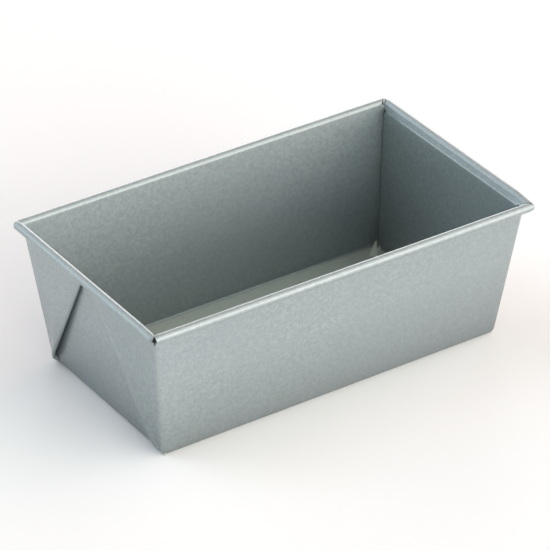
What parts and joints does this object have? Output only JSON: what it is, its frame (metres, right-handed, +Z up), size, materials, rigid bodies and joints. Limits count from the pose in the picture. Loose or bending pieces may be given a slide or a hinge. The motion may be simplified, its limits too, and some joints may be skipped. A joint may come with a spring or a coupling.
{
  "type": "loaf pan",
  "caption": "Rectangular folded-corner loaf pan with flared walls, flat triangular flaps outside the end walls and a curled rim with a wire inside it.",
  "frame": {"origin": "middle of the flat underside", "axes": "+X along the length, +Y across the width, +Z up out of the open top"},
  "size_m": [0.2158, 0.124, 0.076],
  "materials": {
    "coated_steel_sheet": "satin silvery coated steel with a fine mottled grain",
    "bare_steel_wire": "dull bare drawn steel wire"
  },
  "bodies": {
    "root": {"folded_pan": "coated_steel_sheet", "rim_wire": "bare_steel_wire"}
  },
  "joints": []
}
